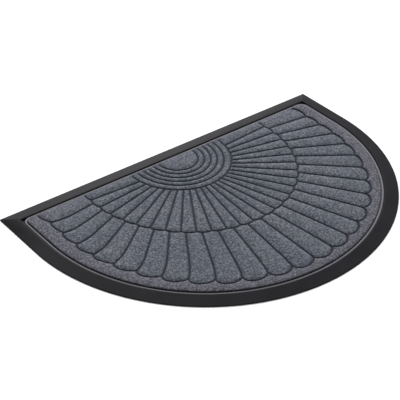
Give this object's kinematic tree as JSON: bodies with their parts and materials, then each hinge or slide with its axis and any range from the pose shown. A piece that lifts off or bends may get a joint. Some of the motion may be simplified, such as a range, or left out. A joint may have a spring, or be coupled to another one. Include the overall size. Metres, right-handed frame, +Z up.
{
  "type": "doormat",
  "caption": "Half-round doormat: a moulded rubber base with a sloping border, and a ribbed carpet face pressed with a fan of petals.",
  "frame": {"origin": "on the floor, under the middle of the box that the mat fills", "axes": "+X along the straight edge, +Y towards the straight edge, +Z up from the floor"},
  "size_m": [0.9, 0.6, 0.008],
  "materials": {
    "rubber": "matte black moulded rubber with a fine grain",
    "carpet": "heathered blue-grey needle-punched felt with pressed grooves"
  },
  "bodies": {
    "root": {"rubber_base": "rubber", "carpet": "carpet"}
  },
  "joints": []
}
